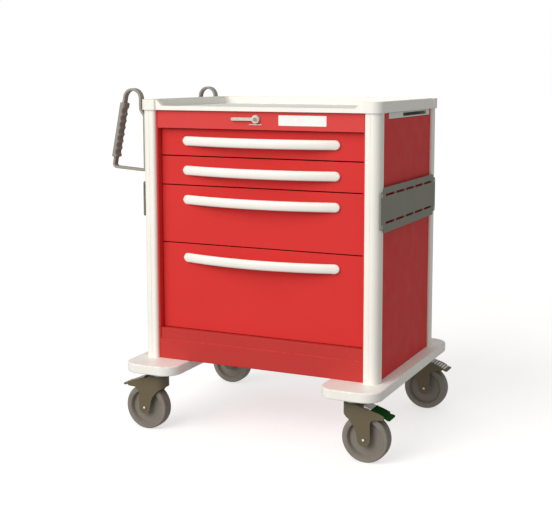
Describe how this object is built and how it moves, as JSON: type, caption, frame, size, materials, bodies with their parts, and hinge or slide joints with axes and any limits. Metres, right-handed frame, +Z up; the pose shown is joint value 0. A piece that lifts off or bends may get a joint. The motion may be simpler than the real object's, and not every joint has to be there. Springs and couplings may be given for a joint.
{
  "type": "crash cart",
  "caption": "Rolling emergency cart: steel cabinet of drawers with bowed pulls, side shelf, slotted side plates, push handles and swivel casters.",
  "frame": {"origin": "on the floor, below the middle of the base", "axes": "+X to the cart's right as seen from the drawers, +Y from the drawers to the back, +Z up"},
  "size_m": [0.8074, 0.595, 0.8988],
  "materials": {
    "red_paint": "gloss powder coat",
    "white_plastic": "satin moulded",
    "white_post": "satin powder coat",
    "grey_plate": "fine texture powder coat",
    "steel": "zinc plated",
    "handle_grey": "satin powder coat",
    "grip_rubber": "matte",
    "white_laminate": "smooth",
    "cup_grey": "satin",
    "lock_metal": "satin chrome",
    "label_white": "smooth",
    "drawer_steel": "satin powder coat",
    "fork_bronze": "satin",
    "tread_grey": "matte",
    "hub_grey": "moulded",
    "pedal_green": "moulded",
    "pedal_steel": "ribbed"
  },
  "bodies": {
    "cart": {"floor_pan": "red_paint", "side_panel_left": "red_paint", "side_panel_right": "red_paint", "back_panel": "red_paint", "header_panel": "red_paint", "kick_rail": "red_paint", "top_tray": "white_plastic", "base_skirt_left": "white_plastic", "base_skirt_right": "white_plastic", "post_front_left": "white_post", "post_front_right": "white_post", "post_rear_left": "white_post", "post_rear_right": "white_post", "accessory_plate_left": "grey_plate", "accessory_plate_right": "grey_plate", "fasteners": "steel", "push_handle_front": "handle_grey", "push_handle_rear": "handle_grey", "handle_grips": "grip_rubber", "shelf_guides": "steel", "lock_housing": "lock_metal", "blank_plate": "label_white", "drawer_rails": "steel", "caster_mounts": "steel"},
    "drawer_1": {"drawer_box_1": "drawer_steel", "drawer_front_1": "red_paint", "drawer_pull_1": "white_plastic"},
    "slide_1": {"slide_mid_1": "steel"},
    "drawer_2": {"drawer_box_2": "drawer_steel", "drawer_front_2": "red_paint", "drawer_pull_2": "white_plastic"},
    "slide_2": {"slide_mid_2": "steel"},
    "drawer_3": {"drawer_box_3": "drawer_steel", "drawer_front_3": "red_paint", "drawer_pull_3": "white_plastic"},
    "slide_3": {"slide_mid_3": "steel"},
    "drawer_4": {"drawer_box_4": "drawer_steel", "drawer_front_4": "red_paint", "drawer_pull_4": "white_plastic"},
    "slide_4": {"slide_mid_4": "steel"},
    "shelf": {"work_shelf": "white_laminate", "shelf_pull": "cup_grey"},
    "lever": {"lock_lever": "lock_metal"},
    "bolt_bar": {"lock_bar": "steel"},
    "fork_front_left": {"caster_fork_front_left": "fork_bronze"},
    "wheel_front_left": {"tyre_front_left": "tread_grey", "wheel_hub_front_left": "hub_grey"},
    "fork_front_right": {"caster_fork_front_right": "fork_bronze"},
    "wheel_front_right": {"tyre_front_right": "tread_grey", "wheel_hub_front_right": "hub_grey"},
    "fork_rear_left": {"caster_fork_rear_left": "fork_bronze"},
    "wheel_rear_left": {"tyre_rear_left": "tread_grey", "wheel_hub_rear_left": "hub_grey"},
    "fork_rear_right": {"caster_fork_rear_right": "fork_bronze"},
    "wheel_rear_right": {"tyre_rear_right": "tread_grey", "wheel_hub_rear_right": "hub_grey"},
    "pedal_front_left": {"brake_pedal_front_left": "pedal_steel"},
    "pedal_front_right": {"brake_pedal_front_right": "pedal_green"},
    "pedal_rear_left": {"brake_pedal_rear_left": "pedal_steel"},
    "pedal_rear_right": {"brake_pedal_rear_right": "pedal_steel"}
  },
  "joints": [
    {"name": "drawer_1_slide", "type": "slide", "parent": "cart", "child": "drawer_1", "axis": [0, -1, 0], "range_m": [0, 0.38]},
    {"name": "slide_1_run", "type": "slide", "parent": "cart", "child": "slide_1", "axis": [0, -1, 0], "range_m": [0, 0.19]},
    {"name": "drawer_2_slide", "type": "slide", "parent": "cart", "child": "drawer_2", "axis": [0, -1, 0], "range_m": [0, 0.38]},
    {"name": "slide_2_run", "type": "slide", "parent": "cart", "child": "slide_2", "axis": [0, -1, 0], "range_m": [0, 0.19]},
    {"name": "drawer_3_slide", "type": "slide", "parent": "cart", "child": "drawer_3", "axis": [0, -1, 0], "range_m": [0, 0.38]},
    {"name": "slide_3_run", "type": "slide", "parent": "cart", "child": "slide_3", "axis": [0, -1, 0], "range_m": [0, 0.19]},
    {"name": "drawer_4_slide", "type": "slide", "parent": "cart", "child": "drawer_4", "axis": [0, -1, 0], "range_m": [0, 0.38]},
    {"name": "slide_4_run", "type": "slide", "parent": "cart", "child": "slide_4", "axis": [0, -1, 0], "range_m": [0, 0.19]},
    {"name": "shelf_slide", "type": "slide", "parent": "cart", "child": "shelf", "axis": [1, 0, 0], "range_m": [0, 0.32]},
    {"name": "lever_turn", "type": "hinge", "parent": "cart", "child": "lever", "pos_m": [0, -0.2125, 0.824], "axis": [0, -1, 0], "range_deg": [0, 20]},
    {"name": "bar_lift", "type": "slide", "parent": "cart", "child": "bolt_bar", "axis": [0, 0, 1], "range_m": [0, 0.0069]},
    {"name": "swivel_front_left", "type": "hinge", "parent": "cart", "child": "fork_front_left", "pos_m": [-0.274, -0.238, 0.145], "axis": [0, 0, 1], "continuous": true},
    {"name": "roll_front_left", "type": "hinge", "parent": "fork_front_left", "child": "wheel_front_left", "pos_m": [-0.309, -0.238, 0.06], "axis": [0, 1, 0], "continuous": true},
    {"name": "swivel_front_right", "type": "hinge", "parent": "cart", "child": "fork_front_right", "pos_m": [0.274, -0.238, 0.145], "axis": [0, 0, 1], "continuous": true},
    {"name": "roll_front_right", "type": "hinge", "parent": "fork_front_right", "child": "wheel_front_right", "pos_m": [0.309, -0.238, 0.06], "axis": [0, 1, 0], "continuous": true},
    {"name": "swivel_rear_left", "type": "hinge", "parent": "cart", "child": "fork_rear_left", "pos_m": [-0.274, 0.238, 0.145], "axis": [0, 0, 1], "continuous": true},
    {"name": "roll_rear_left", "type": "hinge", "parent": "fork_rear_left", "child": "wheel_rear_left", "pos_m": [-0.309, 0.238, 0.06], "axis": [0, 1, 0], "continuous": true},
    {"name": "swivel_rear_right", "type": "hinge", "parent": "cart", "child": "fork_rear_right", "pos_m": [0.274, 0.238, 0.145], "axis": [0, 0, 1], "continuous": true},
    {"name": "roll_rear_right", "type": "hinge", "parent": "fork_rear_right", "child": "wheel_rear_right", "pos_m": [0.309, 0.238, 0.06], "axis": [0, 1, 0], "continuous": true},
    {"name": "pedal_press_front_left", "type": "hinge", "parent": "fork_front_left", "child": "pedal_front_left", "pos_m": [-0.314, -0.238, 0.134], "axis": [0, -1, 0], "range_deg": [0, 12]},
    {"name": "pedal_press_front_right", "type": "hinge", "parent": "fork_front_right", "child": "pedal_front_right", "pos_m": [0.314, -0.238, 0.134], "axis": [0, 1, 0], "range_deg": [0, 12]},
    {"name": "pedal_press_rear_left", "type": "hinge", "parent": "fork_rear_left", "child": "pedal_rear_left", "pos_m": [-0.314, 0.238, 0.134], "axis": [0, -1, 0], "range_deg": [0, 12]},
    {"name": "pedal_press_rear_right", "type": "hinge", "parent": "fork_rear_right", "child": "pedal_rear_right", "pos_m": [0.314, 0.238, 0.134], "axis": [0, 1, 0], "range_deg": [0, 12]}
  ],
  "couplings": [
    {"joint": "slide_1_run", "follows": "drawer_1_slide", "ratio": 0.5},
    {"joint": "slide_2_run", "follows": "drawer_2_slide", "ratio": 0.5},
    {"joint": "slide_3_run", "follows": "drawer_3_slide", "ratio": 0.5},
    {"joint": "slide_4_run", "follows": "drawer_4_slide", "ratio": 0.5},
    {"joint": "lever_turn", "follows": "bar_lift", "rad_per_m": 50.5}
  ]
}
